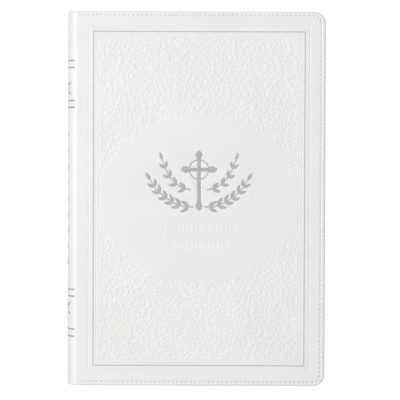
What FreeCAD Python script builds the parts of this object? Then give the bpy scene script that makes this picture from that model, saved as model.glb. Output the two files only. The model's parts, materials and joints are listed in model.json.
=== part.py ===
import FreeCAD, Part
import math
import os
import re
import Sketcher
from FreeCAD import Placement, Rotation, Vector

# A closed, limp-leather Bible lying on its back cover.
# +X runs from the spine to the fore-edge, +Y to the head, +Z out of the front cover.
# The origin is the middle of the back cover's outer face.

os.makedirs("parts", exist_ok=True)
doc = FreeCAD.newDocument("Bible")

# ---------------------------------------------------------------- driving sizes
SIZES = {
    # whole book
    "book_width": 149.0,
    "book_height": 216.0,
    "book_depth": 27.0,
    # spine: a wide arc that runs into the covers through two small ones
    "spine_arc_radius": 24.8,
    "shoulder_radius": 4.0,
    "spine_skin": 0.9,
    "inlay_thick": 0.45,
    "inlay_half_width": 8.6,
    # cover panels
    "cover_thick": 2.1,
    "corner_radius": 6.8,
    "edge_round": 0.8,
    "turn_in": 4.6,
    "board_thick": 0.8,
    "lining_thick": 0.2,
    "paste_thick": 0.15,
    "board_gap": 0.1,
    "board_from_joint": 10.2,
    "joint_width": 5.2,
    "fold_gap": 0.1,
    # stitching
    "stitch_from_side": 2.2,
    "stitch_from_fore": 2.6,
    "stitch_wide": 0.6,
    "stitch_deep": 0.3,
    "stitch_slack": 0.05,
    # foil on the front cover
    "foil_thick": 0.05,
    "frame_from_fore": 11.6,
    "frame_from_side": 11.4,
    "frame_from_spine": 15.1,
    "frame_line": 0.5,
    "emblem_centre_x": 1.7,
    "emblem_centre_y": 10.5,
    "cross_tall": 34.0,
    "cross_wide": 20.0,
    "cross_bar": 3.2,
    "leaf_size": 3.2,
    "leaf_step": 6.2,
    "leaf_rise": 0.3,
    # foil on the spine
    "band_wide": 0.8,
    "inner_band": 54.5,
    "outer_band": 77.5,
    "band_half_step": 2.0,
    "band_from_joint": 2.0,
    "knot_long": 4.4,
    "knot_tall": 9.4,
    "knot_at": 62.0,
    "knot_pitch": 12.0,
    # text block
    "page_width": 141.6,
    "page_height": 208.0,
    "spine_hollow": 3.6,
    "text_sagitta": 1.0,
    "text_clear": 0.8,
    "fly_inset": 1.5,
    "leaf_thick": 0.15,
    "fold_round": 0.5,
    "signature_gap": 0.04,
    "glue_thick": 0.06,
    "lining_inset": 0.3,
    "thread_thick": 0.2,
    "thread_wide": 1.0,
    "thread_pitch": 30.0,
    "mull_thick": 0.25,
    "mull_height": 196.0,
    "paper_thick": 0.25,
    "paper_height": 206.0,
    "headband_radius": 0.75,
    # how far a cutting or trimming solid reaches past what it cuts
    "overshoot": 1.0,
}
SIGNATURES = 18
THREAD_STATIONS = 7
LEAVES_EACH_SIDE = 5
SPINE_KNOTS = 7
# share of the rounded back's arc that a headband follows
HEADBAND_REACH = 0.97
# two coordinates this close are the same one
SAME = 1e-4

sheet = doc.addObject("Spreadsheet::Sheet", "sheet")
for row, (alias, value) in enumerate(SIZES.items(), start=1):
    sheet.set(f"A{row}", alias)
    sheet.set(f"B{row}", str(value))
    sheet.setAlias(f"B{row}", alias)

# lines and surfaces that several pieces share, worked out in the sheet from the driving sizes
DERIVED = {
    "spine_x": "=-book_width / 2",
    "fore_x": "=book_width / 2",
    "half_height": "=book_height / 2",
    "mid_z": "=book_depth / 2",
    "spine_arc_x": "=spine_x + spine_arc_radius",
    "shoulder_x": "=spine_arc_x - sqrt((spine_arc_radius - shoulder_radius) ^ 2"
                  " - (book_depth / 2 - shoulder_radius) ^ 2)",
    "panel_x": "=shoulder_x + joint_width",
    "board_x": "=shoulder_x + board_from_joint",
    "front_inner_z": "=book_depth - cover_thick",
    "text_x": "=spine_x + spine_hollow",
    "text_low": "=cover_thick + text_clear + leaf_thick",
    "text_half": "=book_depth / 2 - text_low",
    "text_radius": "=(text_half ^ 2 + text_sagitta ^ 2) / (2 * text_sagitta)",
    "text_arc_x": "=text_x + text_radius",
    "signature_thick": f"=2 * text_half / {SIGNATURES}",
}
for row, (alias, formula) in enumerate(DERIVED.items(), start=len(SIZES) + 1):
    sheet.set(f"A{row}", alias)
    sheet.setAlias(f"B{row}", alias)
    sheet.set(f"B{row}", formula)
    doc.recompute()


def size(alias):
    """The value of one cell, in millimetres."""
    return float(sheet.get(alias))


def cells(formula):
    """An expression for another object: every alias in it becomes a reference to the sheet."""
    def refer(match):
        word = match.group(0)
        return f"sheet.{word}" if word in SIZES or word in DERIVED else word
    return re.sub(r"[a-z_]+", refer, formula)


def bind(thing, **formulas):
    """Tie properties of an object to the sheet."""
    for name, formula in formulas.items():
        thing.setExpression(name.replace("__", "."), cells(formula))


SUB_PARTS = []


def keep(thing, label):
    """Name a finished sub-part, which is then written under this name."""
    thing.Label = label
    SUB_PARTS.append(thing)
    return thing


# ---------------------------------------------------------------- sketch helpers
def new_body(label):
    body = doc.addObject("PartDesign::Body", label)
    return keep(body, label)


def flat_sketch(body, name, height):
    """A sketch parallel to the covers, at the given height."""
    sketch = body.newObject("Sketcher::SketchObject", name)
    plane = [item for item in body.Origin.OriginFeatures if item.Role == "XY_Plane"][0]
    sketch.AttachmentSupport = (plane, "")
    sketch.MapMode = "FlatFace"
    bind(sketch, AttachmentOffset__Base__z=height)
    return sketch


def named_size(sketch, constraint, name, formula):
    index = sketch.addConstraint(constraint)
    sketch.renameConstraint(index, name)
    sketch.setExpression(f"Constraints.{name}", cells(formula))


def panel_outline(sketch, left, right, half, radius):
    """A rectangle about the X axis, with its two fore-edge corners rounded.

    It is drawn roughly first, and its constraints then give it its size.
    """
    x0, x1, y1, r = -60.0, 70.0, 100.0, 6.0
    points = [Vector(x0, -y1), Vector(x1 - r, -y1), Vector(x1, r - y1),
              Vector(x1, y1 - r), Vector(x1 - r, y1), Vector(x0, y1)]
    normal = Vector(0, 0, 1)
    low_circle = Part.Circle(Vector(x1 - r, r - y1), normal, r)
    high_circle = Part.Circle(Vector(x1 - r, y1 - r), normal, r)
    tail = sketch.addGeometry(Part.LineSegment(points[0], points[1]))
    low_arc = sketch.addGeometry(Part.ArcOfCircle(low_circle, -math.pi / 2, 0))
    fore = sketch.addGeometry(Part.LineSegment(points[2], points[3]))
    high_arc = sketch.addGeometry(Part.ArcOfCircle(high_circle, 0, math.pi / 2))
    head = sketch.addGeometry(Part.LineSegment(points[4], points[5]))
    back = sketch.addGeometry(Part.LineSegment(points[5], points[0]))
    sketch.addConstraint([
        Sketcher.Constraint("Tangent", tail, 2, low_arc, 1),
        Sketcher.Constraint("Tangent", low_arc, 2, fore, 1),
        Sketcher.Constraint("Tangent", fore, 2, high_arc, 1),
        Sketcher.Constraint("Tangent", high_arc, 2, head, 1),
        Sketcher.Constraint("Coincident", head, 2, back, 1),
        Sketcher.Constraint("Coincident", back, 2, tail, 1),
        Sketcher.Constraint("Horizontal", tail),
        Sketcher.Constraint("Horizontal", head),
        Sketcher.Constraint("Vertical", fore),
        Sketcher.Constraint("Symmetric", back, 1, back, 2, -1),
        Sketcher.Constraint("Equal", low_arc, high_arc),
    ])
    named_size(sketch, Sketcher.Constraint("Radius", low_arc, r), "corner", radius)
    named_size(sketch, Sketcher.Constraint("DistanceX", -1, 1, back, 1, x0), "left", left)
    named_size(sketch, Sketcher.Constraint("DistanceX", -1, 1, fore, 1, x1), "right", right)
    named_size(sketch, Sketcher.Constraint("DistanceY", back, 2, back, 1, 2 * y1), "tall",
               f"2 * ({half})")


def box_outline(sketch, left, right, half, tag=""):
    """A plain rectangle about the X axis."""
    x0, x1, y1 = -60.0, 70.0, 100.0
    corners = [Vector(x0, -y1), Vector(x1, -y1), Vector(x1, y1), Vector(x0, y1)]
    sides = []
    for index, corner in enumerate(corners):
        line = Part.LineSegment(corner, corners[(index + 1) % 4])
        sides.append(sketch.addGeometry(line))
    tail, fore, head, back = sides
    for index, side in enumerate(sides):
        sketch.addConstraint(Sketcher.Constraint("Coincident", side, 2, sides[(index + 1) % 4], 1))
    for side in (tail, head):
        sketch.addConstraint(Sketcher.Constraint("Horizontal", side))
    sketch.addConstraint(Sketcher.Constraint("Vertical", fore))
    sketch.addConstraint(Sketcher.Constraint("Symmetric", back, 1, back, 2, -1))
    named_size(sketch, Sketcher.Constraint("DistanceX", -1, 1, back, 1, x0), f"left{tag}", left)
    named_size(sketch, Sketcher.Constraint("DistanceX", -1, 1, fore, 1, x1), f"right{tag}", right)
    named_size(sketch, Sketcher.Constraint("DistanceY", back, 2, back, 1, 2 * y1), f"tall{tag}",
               f"2 * ({half})")


def pad(body, sketch, length):
    feature = body.newObject("PartDesign::Pad", f"{body.Name}_pad")
    feature.Profile = sketch
    bind(feature, Length=length)
    sketch.Visibility = False
    doc.recompute()
    return feature


def pocket(body, sketch, depth, upward):
    """Cut from the sketch into the solid: upward is along +Z."""
    before = body.Shape.Volume
    feature = body.newObject("PartDesign::Pocket", f"{body.Name}_pocket")
    feature.Profile = sketch
    feature.Reversed = upward
    bind(feature, Length=depth)
    doc.recompute()
    if body.Shape.Volume > before - 1e-6:
        raise RuntimeError(f"{feature.Label} cuts nothing")
    return feature


# ---------------------------------------------------------------- cover panels
def cover_leather(side, left):
    """Leather panel: a face, and a rim where its edges are turned in round the board."""
    front = side == "front"
    inner = "front_inner_z" if front else "cover_thick"
    body = doc.addObject("PartDesign::Body", f"{side}_panel")
    outline = flat_sketch(body, f"{side}_outline", "front_inner_z" if front else "0")
    panel_outline(outline, left, "fore_x", "half_height", "corner_radius")
    pad(body, outline, "cover_thick")

    recess = flat_sketch(body, f"{side}_recess", inner)
    panel_outline(recess, "board_x", "fore_x - turn_in", "half_height - turn_in",
                  "corner_radius - turn_in")
    pocket(body, recess, "board_thick + lining_thick + paste_thick", front)

    round_rim(body, size("book_depth") if front else 0.0)

    groove = stitch_track(f"{side}_groove", side, left, "stitch_slack")
    leather = doc.addObject("Part::Cut", f"{side}_grooved_panel")
    leather.Base = body
    leather.Tool = groove
    return keep(leather, f"{side}_cover_leather")


def round_rim(body, outer_z):
    """Round the outer edge of a panel on its three free sides."""
    joint_x = body.Shape.BoundBox.XMin
    rim = []
    for index, edge in enumerate(body.Shape.Edges, start=1):
        box = edge.BoundBox
        level = abs(box.ZMin - outer_z) < SAME and abs(box.ZMax - outer_z) < SAME
        if level and box.XMax > joint_x + SAME:
            rim.append(f"Edge{index}")
    base = body.Tip
    fillet = body.newObject("PartDesign::Fillet", f"{body.Name}_round")
    fillet.Base = (base, rim)
    bind(fillet, Radius="edge_round")
    doc.recompute()


def stitch_track(label, side, left, slack):
    """The line of stitching round the three free sides, with room to spare for its groove."""
    front = side == "front"
    body = doc.addObject("PartDesign::Body", label)
    outer = flat_sketch(body, f"{label}_outer", "book_depth - stitch_deep" if front else "0")
    panel_outline(outer, left, f"fore_x - stitch_from_fore + stitch_wide / 2 + {slack}",
                  f"half_height - stitch_from_side + stitch_wide / 2 + {slack}",
                  f"corner_radius - stitch_from_side + stitch_wide / 2 + {slack}")
    pad(body, outer, "stitch_deep")
    inner = flat_sketch(body, f"{label}_inner", "book_depth" if front else "stitch_deep")
    panel_outline(inner, f"{left} - overshoot", f"fore_x - stitch_from_fore - stitch_wide / 2 - {slack}",
                  f"half_height - stitch_from_side - stitch_wide / 2 - {slack}",
                  f"corner_radius - stitch_from_side - stitch_wide / 2 - {slack}")
    pocket(body, inner, "stitch_deep", False)
    return body


def inside_layer(label, thick, low):
    """A sheet inside the leather's recess: board, lining or pastedown."""
    body = new_body(label)
    sketch = flat_sketch(body, f"{label}_outline", low)
    panel_outline(sketch, "board_x + board_gap", "fore_x - turn_in - board_gap",
                  "half_height - turn_in - board_gap", "corner_radius - turn_in - board_gap")
    pad(body, sketch, thick)


def cover_panel(side, left):
    cover_leather(side, left)
    layers = ["board", "lining", "pastedown"]
    thicks = ["board_thick", "lining_thick", "paste_thick"]
    skin = "(cover_thick - board_thick - lining_thick - paste_thick)"
    below = skin
    for layer, thick in zip(layers, thicks):
        low = f"book_depth - {below} - {thick}" if side == "front" else below
        inside_layer(f"{side}_{layer}", thick, low)
        below = f"({below} + {thick})"
    keep(stitch_track(f"{side}_stitching", side, left, "0"), f"{side}_stitching")


cover_panel("back", "shoulder_x + fold_gap / 2")
cover_panel("front", "panel_x + fold_gap / 2")


# ---------------------------------------------------------------- boxes
def block(name, left, right, low_y, high_y, low, thick):
    """A box between two x planes and two y planes, standing on a height."""
    box = doc.addObject("Part::Box", name)
    bind(box, Length=f"{right} - ({left})", Width=f"{high_y} - ({low_y})", Height=thick,
         Placement__Base__x=left, Placement__Base__y=low_y, Placement__Base__z=low)
    return box


# the strip of leather between the spine and the front panel, which folds on both sides
joint_strip = block("front_joint_leather", "shoulder_x + fold_gap / 2", "panel_x - fold_gap / 2",
                    "0 - half_height", "half_height", "book_depth - spine_skin", "spine_skin")
keep(joint_strip, "front_joint_leather")


# ---------------------------------------------------------------- spine
def spine_solid(name, inset):
    """The space inside the spine's outline, set in by a distance, from head to tail."""
    drum = doc.addObject("Part::Cylinder", f"{name}_drum")
    bind(drum, Radius=f"spine_arc_radius - ({inset})", Height="book_height",
         Placement__Base__x="spine_arc_x", Placement__Base__y="half_height",
         Placement__Base__z="mid_z")
    drum.Placement.Rotation = Rotation(Vector(1, 0, 0), 90)
    slab = block(f"{name}_slab", "spine_x - overshoot", "shoulder_x + shoulder_radius", "0 - half_height",
                 "half_height", inset, f"book_depth - 2 * ({inset})")
    arch = doc.addObject("Part::Common", f"{name}_arch")
    arch.Base = drum
    arch.Tool = slab
    doc.recompute()
    sharp = []
    for index, edge in enumerate(arch.Shape.Edges, start=1):
        box = edge.BoundBox
        along = box.YLength > size("half_height")
        if along and box.XMax < size("shoulder_x"):
            sharp.append(index)
    radius = size("shoulder_radius") - inset_value(inset)
    rounded = doc.addObject("Part::Fillet", f"{name}_rounded")
    rounded.Base = arch
    rounded.Edges = [(index, radius, radius) for index in sharp]
    half = block(f"{name}_half", "spine_x - overshoot", "shoulder_x",
                 "0 - half_height - overshoot", "half_height + overshoot", "0 - overshoot",
                 "book_depth + 2 * overshoot")
    solid = doc.addObject("Part::Common", f"{name}_solid")
    solid.Base = rounded
    solid.Tool = half
    return solid


def inset_value(inset):
    """A signed sum of aliases, in millimetres."""
    total = 0.0
    sign = 1.0
    for word in inset.split():
        if word in "+-":
            sign = 1.0 if word == "+" else -1.0
        else:
            total += sign * (size(word) if word in SIZES else float(word))
    return total


def spine_shell(name, outer, inner):
    """A curved skin between two insets of the spine's outline."""
    shell = doc.addObject("Part::Cut", name)
    shell.Base = spine_solid(f"{name}_out", outer)
    shell.Tool = spine_solid(f"{name}_in", inner)
    return shell


def common(name, base, tool):
    result = doc.addObject("Part::Common", name)
    result.Base = base
    result.Tool = tool
    return result


def gather(name, pieces):
    """Separate solids of one sub-part."""
    group = doc.addObject("Part::Compound", name)
    group.Links = pieces
    return group


keep(spine_shell("spine_leather", "0", "spine_skin"), "spine_leather")

inlay_skin = spine_shell("inlay_skin", "spine_skin", "spine_skin + inlay_thick")
inlay_zone = block("inlay_zone", "spine_x", "shoulder_x", "0 - half_height + turn_in",
                   "half_height - turn_in", "mid_z - inlay_half_width", "2 * inlay_half_width")
keep(common("spine_inlay", inlay_skin, inlay_zone), "spine_inlay")

# foil on the spine: pairs of bands near head and tail, knots between them
foil_skin = spine_shell("foil_skin", "0 - foil_thick", "0")
bands = []
for sign in ("", "0 - "):
    for centre in ("inner_band", "outer_band"):
        for step in ("- band_half_step", "+ band_half_step"):
            middle = f"{sign}( {centre} {step} )"
            zone = block(f"band_zone_{len(bands)}", "spine_x - overshoot",
                         "shoulder_x - band_from_joint", f"{middle} - band_wide / 2",
                         f"{middle} + band_wide / 2", "0", "book_depth")
            bands.append(common(f"band_{len(bands)}", foil_skin, zone))
keep(gather("spine_foil_bands", bands), "spine_foil_bands")

knots = []
knot_places = ["knot_at", "0 - knot_at"]
knot_places += [f"knot_pitch * {step - SPINE_KNOTS // 2}" for step in range(SPINE_KNOTS)]
for middle in knot_places:
    zone = block(f"knot_zone_{len(knots)}", "spine_x - overshoot", "shoulder_x",
                 f"( {middle} ) - knot_long / 2", f"( {middle} ) + knot_long / 2",
                 "mid_z - knot_tall / 2", "knot_tall")
    knots.append(common(f"knot_{len(knots)}", foil_skin, zone))
keep(gather("spine_foil_ornaments", knots), "spine_foil_ornaments")

# ---------------------------------------------------------------- foil on the front cover
frame_body = new_body("front_foil_frame")
frame_sketch = flat_sketch(frame_body, "frame_outline", "book_depth")
for tag, inset in (("_outer", "0"), ("_inner", "frame_line")):
    box_outline(frame_sketch, f"spine_x + frame_from_spine + {inset}",
                f"fore_x - frame_from_fore - {inset}",
                f"half_height - frame_from_side - {inset}", tag)
pad(frame_body, frame_sketch, "foil_thick")


def foil_cross():
    upright = block("cross_upright", "emblem_centre_x - cross_bar / 2",
                    "emblem_centre_x + cross_bar / 2", "emblem_centre_y - cross_tall / 2",
                    "emblem_centre_y + cross_tall / 2", "book_depth", "foil_thick")
    beam = block("cross_beam", "emblem_centre_x - cross_wide / 2",
                 "emblem_centre_x + cross_wide / 2",
                 "emblem_centre_y + cross_tall / 6 - cross_bar / 2",
                 "emblem_centre_y + cross_tall / 6 + cross_bar / 2", "book_depth", "foil_thick")
    cross = doc.addObject("Part::Fuse", "cross")
    cross.Base = upright
    cross.Tool = beam
    return cross


def foil_leaf(side, step):
    """One lozenge of the sprays on either side of the cross."""
    leaf = doc.addObject("Part::Box", f"leaf_{side}_{step}")
    sign = "-" if side == "left" else "+"
    bind(leaf, Length="leaf_size", Width="leaf_size", Height="foil_thick",
         Placement__Base__x=f"emblem_centre_x {sign} ( 2 * cross_bar + leaf_step * {step} )",
         Placement__Base__y=f"emblem_centre_y - cross_tall / 4 - leaf_size + leaf_rise * {step ** 2}",
         Placement__Base__z="book_depth")
    leaf.Placement.Rotation = Rotation(Vector(0, 0, 1), 45)
    return leaf


leaves = [foil_leaf(side, step) for side in ("left", "right") for step in range(LEAVES_EACH_SIDE)]
keep(gather("front_foil_emblem", [foil_cross()] + leaves), "front_foil_emblem")


# ---------------------------------------------------------------- text block
def fold_x(height):
    """Where the text block's rounded back lies at a height, as an expression."""
    return f"text_arc_x - sqrt(text_radius ^ 2 - ({height} - mid_z) ^ 2)"


def signature(number):
    """One folded section of the text block, with its fold at the spine."""
    middle = f"text_low + signature_thick * {number - 0.5}"
    sheets = block(f"sheets_{number:02d}", fold_x(middle), f"{fold_x(middle)} + page_width",
                   "0 - page_height / 2", "page_height / 2",
                   f"text_low + signature_thick * {number - 1} + signature_gap / 2",
                   "signature_thick - signature_gap")
    doc.recompute()
    left = sheets.Shape.BoundBox.XMin
    folds = []
    for index, edge in enumerate(sheets.Shape.Edges, start=1):
        if edge.BoundBox.XMax < left + SAME and edge.BoundBox.YLength > size("signature_thick"):
            folds.append((index, size("fold_round"), size("fold_round")))
    section = doc.addObject("Part::Fillet", f"signature_{number:02d}")
    section.Base = sheets
    section.Edges = folds
    return keep(section, f"signature_{number:02d}")


for number in range(1, SIGNATURES + 1):
    signature(number)

edge_fold = fold_x("text_low + signature_thick / 2")
fly_left = f"{edge_fold} + fly_inset"
fly_right = f"{edge_fold} + page_width"
keep(block("back_flyleaf", fly_left, fly_right, "0 - page_height / 2", "page_height / 2",
           "text_low - leaf_thick", "leaf_thick"), "back_flyleaf")
keep(block("front_flyleaf", fly_left, fly_right, "0 - page_height / 2", "page_height / 2",
           "book_depth - text_low", "leaf_thick"), "front_flyleaf")


def back_skin(name, low, high, length, centre_y="0"):
    """A curved strip on the rounded back of the text block, between two distances from it."""
    drums = []
    for tag, rise in (("out", high), ("in", low)):
        drum = doc.addObject("Part::Cylinder", f"{name}_{tag}")
        bind(drum, Radius=f"text_radius + {rise}", Height=length,
             Placement__Base__x="text_arc_x", Placement__Base__y=f"{centre_y} + ({length}) / 2",
             Placement__Base__z="mid_z")
        drum.Placement.Rotation = Rotation(Vector(1, 0, 0), 90)
        drums.append(drum)
    ring = doc.addObject("Part::Cut", f"{name}_ring")
    ring.Base, ring.Tool = drums
    zone = block(f"{name}_zone", "spine_x", "shoulder_x", "0 - half_height", "half_height",
                 "text_low + lining_inset", "2 * (text_half - lining_inset)")
    return common(name, ring, zone)


stations = []
for station in range(THREAD_STATIONS):
    place = f"thread_pitch * {station - THREAD_STATIONS // 2}"
    stations.append(back_skin(f"thread_{station}", "glue_thick", "glue_thick + thread_thick",
                              "thread_wide", place))
keep(gather("sewing_thread", stations), "sewing_thread")
mull_low = "glue_thick + thread_thick"
mull_high = f"{mull_low} + mull_thick"
keep(back_skin("spine_mull", mull_low, mull_high, "mull_height"), "spine_mull")
keep(back_skin("spine_paper", mull_high, f"{mull_high} + paper_thick", "paper_height"),
     "spine_paper_lining")


def headband(end, sign):
    """A cord along the spine edge of the pages, at the head or at the tail."""
    cord = doc.addObject("Part::Torus", f"headband_{end}_cord")
    arc = math.asin(size("text_half") / size("text_radius"))
    spread = math.degrees(arc) * HEADBAND_REACH
    bind(cord, Radius1="text_radius - headband_radius", Radius2="headband_radius",
         Placement__Base__x="text_arc_x", Placement__Base__z="mid_z",
         Placement__Base__y=f"{sign}( page_height / 2 + headband_radius )")
    cord.Angle3 = 2 * spread
    cord.Placement.Rotation = Rotation(Vector(1, 0, 0), 90) * Rotation(Vector(0, 0, 1),
                                                                       180 - spread)
    return keep(cord, f"headband_{end}")


headband("head", "")
headband("tail", "0 - ")

# ---------------------------------------------------------------- checks and files
doc.recompute()
for item in doc.Objects:
    if "Invalid" in item.State or "Error" in item.State:
        raise RuntimeError(f"{item.Label} failed: {item.State}")
for part in SUB_PARTS:
    if part.Shape.isNull() or not part.Shape.isValid() or not part.Shape.Solids:
        raise RuntimeError(f"{part.Label} has no valid solid")
for part in SUB_PARTS:
    part.Shape.exportStep(f"parts/{part.Label}.step")
    bounds = part.Shape.BoundBox
    print(f"{part.Label:24s} solids {len(part.Shape.Solids):3d} volume {part.Shape.Volume:10.2f}",
          f"x {bounds.XMin:8.2f} {bounds.XMax:8.2f} y {bounds.YMin:8.2f} {bounds.YMax:8.2f}",
          f"z {bounds.ZMin:7.2f} {bounds.ZMax:7.2f}")
print(f"{len(SUB_PARTS)} sub-parts")
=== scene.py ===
import json
import math
import random
import bmesh
import bpy
import numpy as np
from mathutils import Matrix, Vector


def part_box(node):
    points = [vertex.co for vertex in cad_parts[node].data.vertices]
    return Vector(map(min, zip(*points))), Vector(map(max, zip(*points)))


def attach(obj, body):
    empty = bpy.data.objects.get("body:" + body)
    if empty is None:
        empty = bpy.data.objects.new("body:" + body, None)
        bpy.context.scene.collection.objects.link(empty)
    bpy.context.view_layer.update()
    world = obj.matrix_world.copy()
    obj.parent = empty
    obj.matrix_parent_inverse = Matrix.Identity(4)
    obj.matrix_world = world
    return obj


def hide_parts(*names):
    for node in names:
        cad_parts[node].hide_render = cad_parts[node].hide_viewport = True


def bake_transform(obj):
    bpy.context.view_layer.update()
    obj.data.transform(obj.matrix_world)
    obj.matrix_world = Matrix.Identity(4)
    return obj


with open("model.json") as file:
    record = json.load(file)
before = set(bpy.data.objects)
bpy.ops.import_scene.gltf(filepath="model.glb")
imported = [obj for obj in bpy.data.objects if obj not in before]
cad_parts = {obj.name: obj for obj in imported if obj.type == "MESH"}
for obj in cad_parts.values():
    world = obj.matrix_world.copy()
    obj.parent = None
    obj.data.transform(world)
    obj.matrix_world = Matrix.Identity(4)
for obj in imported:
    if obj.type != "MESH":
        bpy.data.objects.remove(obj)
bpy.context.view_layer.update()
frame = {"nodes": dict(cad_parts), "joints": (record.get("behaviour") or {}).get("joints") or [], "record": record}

# The closed Bible lies on its back cover: +X to the fore-edge, +Y to the head, +Z out of the front.
# Lengths are in millimetres until a mesh is made.
MM = 0.001
random.seed(7)


# ---------- places read from the frame
def box_mm(node):
    low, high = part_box(node)
    return np.array(low) / MM, np.array(high) / MM


def pivot_mm(joint):
    found = [item for item in frame["joints"] if item["name"] == joint][0]
    return np.array(found["pos_m"]) / MM


FRONT_LOW, FRONT_HIGH = box_mm("front_cover_leather")
BACK_LOW = box_mm("back_cover_leather")[0]
SPINE_LOW = box_mm("spine_leather")[0]
FOIL_LOW, FOIL_HIGH = box_mm("front_foil_frame")
BOARD_LOW, BOARD_HIGH = box_mm("front_board")
TOP = FRONT_HIGH[2]
COVER_THICK = FRONT_HIGH[2] - FRONT_LOW[2]
HALF_TALL = FRONT_HIGH[1]
FORE_X = FRONT_HIGH[0]
BACK_HINGE = pivot_mm("spine_hinge")

# the leather: corners, rim and stitching
CORNER = 6.8
SKIN = 0.9
STITCH_PITCH = 2.6
STITCH_INSET = 2.2
STITCH_INSET_FORE = 2.6
FOLD_OVERLAP = 1.2

# spine outline: a wide arc between two small ones
ARC = 24.8
SHOULDER = 4.0

# pages
LEAVES_PER_SECTION = 10
PAGE_CORNER = 4.0
PAGE_UNEVEN = 0.05
# air below and above each leaf
PAGE_AIR = (0.006, 0.008)
SHEET_AIR = 0.01
SECTIONS = sorted(name for name in frame["nodes"] if name.startswith("signature"))
PAGE_BODIES = ["back_cover"] + [f"pages_{number}" for number in range(2, 7)]
# each piece on the block's back spans the joint between two neighbouring page bodies
BACK_PIECES = range(len(PAGE_BODIES) - 1)


# ---------- mesh helpers
def new_object(name, data):
    thing = bpy.data.objects.new(name, data)
    bpy.context.scene.collection.objects.link(thing)
    return thing


def lattice(rows, columns, wrap_rows=False, wrap_columns=False):
    """Quads that join a rows x columns array of vertices."""
    row = np.arange(rows if wrap_rows else rows - 1)
    column = np.arange(columns if wrap_columns else columns - 1)
    r, c = np.meshgrid(row, column, indexing="ij")
    r2, c2 = (r + 1) % rows, (c + 1) % columns
    quads = np.stack([r * columns + c, r2 * columns + c, r2 * columns + c2, r * columns + c2], -1)
    return quads.reshape(-1, 4)


class Parts:
    """Several closed shells in millimetres, collected into one mesh."""

    def __init__(self, *tubes):
        self.verts = []
        self.quads = []
        self.polygons = []
        self.count = 0
        for rings in tubes:
            self.tube(rings)

    def add(self, verts, quads=(), polygons=()):
        verts = np.asarray(verts, dtype=np.float64).reshape(-1, 3)
        self.verts.append(verts)
        self.quads.append(np.asarray(quads, dtype=np.int64).reshape(-1, 4) + self.count)
        self.polygons += [[index + self.count for index in polygon] for polygon in polygons]
        self.count += len(verts)

    def tube(self, rings):
        """A closed shell through rings of equal size, capped at both ends."""
        rings = np.asarray(rings)
        count, size = rings.shape[:2]
        first = list(range(size))[::-1]
        last = [(count - 1) * size + index for index in range(size)]
        self.add(rings, lattice(count, size, wrap_columns=True), [first, last])

    def make(self, name, smooth=True, sharp=35.0):
        """One object of all the shells, with their faces turned outwards."""
        quads = np.concatenate(self.quads)
        counts = [4] * len(quads) + [len(polygon) for polygon in self.polygons]
        corners = list(quads.ravel()) + [index for polygon in self.polygons for index in polygon]
        mesh = bpy.data.meshes.new(name)
        mesh.vertices.add(self.count)
        places = (np.concatenate(self.verts) * MM).astype(np.float32)
        mesh.vertices.foreach_set("co", places.ravel())
        mesh.loops.add(len(corners))
        mesh.loops.foreach_set("vertex_index", np.array(corners, dtype=np.int32))
        mesh.polygons.add(len(counts))
        starts = np.concatenate([[0], np.cumsum(counts)[:-1]]).astype(np.int32)
        mesh.polygons.foreach_set("loop_start", starts)
        mesh.polygons.foreach_set("use_smooth", np.full(len(counts), smooth))
        mesh.update(calc_edges=True)
        mesh.validate()
        if smooth:
            mesh.set_sharp_from_angle(angle=math.radians(sharp))
        shells = bmesh.new()
        shells.from_mesh(mesh)
        bmesh.ops.recalc_face_normals(shells, faces=shells.faces)
        shells.to_mesh(mesh)
        shells.free()
        return new_object(name, mesh)

    def piece(self, name, slot, replaces=(), body=None, **options):
        thing = self.make(name, **options)
        finish_piece(thing, slot, replaces, body)
        return thing


def towards(angle):
    """Steps of one millimetre at the angles."""
    return np.stack([np.cos(angle), np.sin(angle)], axis=-1)


def leftwards(step):
    """The step turned a quarter to the left."""
    return np.stack([-step[..., 1], step[..., 0]], axis=-1)


def from_face(depth, upwards):
    """Heights of places at a depth under the front cover's outer face, or else the back cover's."""
    return TOP - depth if upwards else depth


def smoothstep(low, high, value):
    t = np.clip((value - low) / (high - low), 0.0, 1.0)
    return t * t * (3 - 2 * t)


# ---------- materials
def put(tree, socket, value):
    """Another node's output is linked to the socket; anything else is its constant value."""
    if isinstance(value, bpy.types.NodeSocket):
        tree.links.new(value, socket)
    else:
        socket.default_value = value


def add_node(tree, kind, **settings):
    """A node, with its inputs and its options set by name."""
    node = tree.nodes.new(kind)
    for key, value in settings.items():
        name = key.replace("_", " ")
        if name in node.inputs:
            put(tree, node.inputs[name], value)
        else:
            setattr(node, key, value)
    return node


def grey_range(tree, value, low, high):
    return add_node(tree, "ShaderNodeMapRange", Value=value, To_Min=low, To_Max=high).outputs["Result"]


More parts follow.
